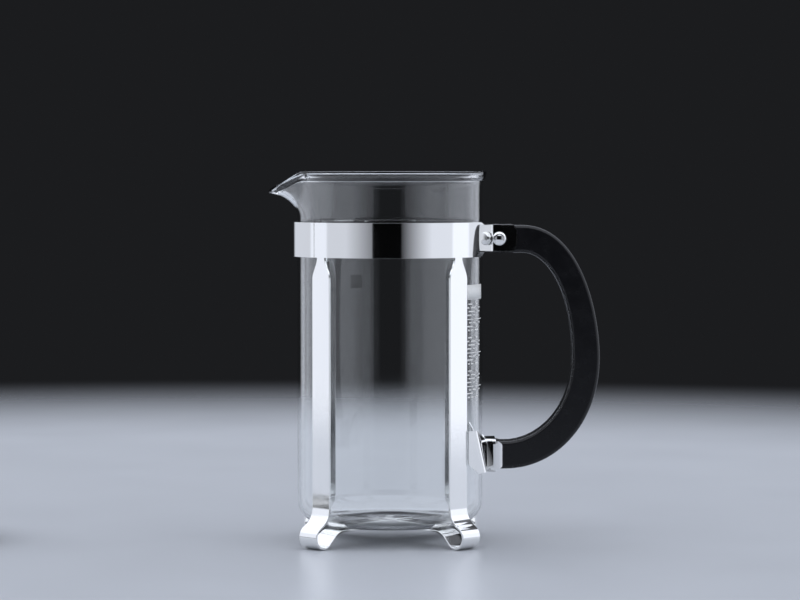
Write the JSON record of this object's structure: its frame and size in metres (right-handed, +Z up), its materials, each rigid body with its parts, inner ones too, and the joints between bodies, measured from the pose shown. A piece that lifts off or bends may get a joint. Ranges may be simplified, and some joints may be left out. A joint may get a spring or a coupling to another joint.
{
  "type": "french press",
  "caption": "Glass coffee press: spouted beaker in a polished strap frame with curled feet and a black D handle, its domed lid and filter plunger standing beside it.",
  "frame": {"origin": "on the table at the middle of the footprint of the press and its plunger set, standing side by side; the beaker's axis is at x = +100.6 mm and the plunger's at x = -157.4 mm", "axes": "+Z up along the beaker, +X from the spout towards the handle, -Y towards the side with the bolt's head"},
  "size_m": [0.4174, 0.1026, 0.22],
  "materials": {
    "clear_glass": "clear borosilicate, fire-polished rim",
    "polished_steel": "mirror-polished chromed steel strap and sheet",
    "fastener_steel": "turned stainless steel, bright",
    "pressed_steel": "pressed stainless sheet, bright",
    "spring_steel": "drawn stainless spring wire",
    "woven_steel": "fine woven stainless mesh",
    "black_plastic": "moulded black polypropylene, satin",
    "gloss_black": "moulded black plastic, polished",
    "white_print": "fired white enamel level marks on the glass"
  },
  "bodies": {
    "frame": {"band": "polished_steel", "leg_strap_lower": "polished_steel", "leg_strap_upper": "polished_steel", "cross_rivet": "polished_steel", "lower_bracket": "polished_steel", "handle": "black_plastic", "handle_bolt": "polished_steel", "handle_nut": "fastener_steel"},
    "beaker": {"beaker": "clear_glass"},
    "plunger": {"cross_plate": "pressed_steel", "filter_mesh": "woven_steel", "spiral_plate": "pressed_steel", "rim_coil": "spring_steel", "filter_hub": "fastener_steel", "rod": "polished_steel", "knob": "gloss_black"},
    "lid_guide": {"lid_bush": "fastener_steel", "lid_ring": "fastener_steel"},
    "lid": {"lid_liner": "black_plastic", "lid_dome": "polished_steel"}
  },
  "joints": [
    {"name": "beaker_lift", "type": "slide", "parent": "frame", "child": "beaker", "axis": [0, 0, 1], "range_m": [0, 0.2]},
    {"name": "plunger_lift", "type": "slide", "parent": "frame", "child": "plunger", "axis": [0, 0, 1], "range_m": [0, 0.25]},
    {"name": "lid_slide", "type": "slide", "parent": "plunger", "child": "lid_guide", "axis": [0, 0, 1], "range_m": [0, 0.148]},
    {"name": "lid_turn", "type": "hinge", "parent": "lid_guide", "child": "lid", "pos_m": [-0.1574, 0, 0], "axis": [0, 0, 1], "continuous": true}
  ]
}
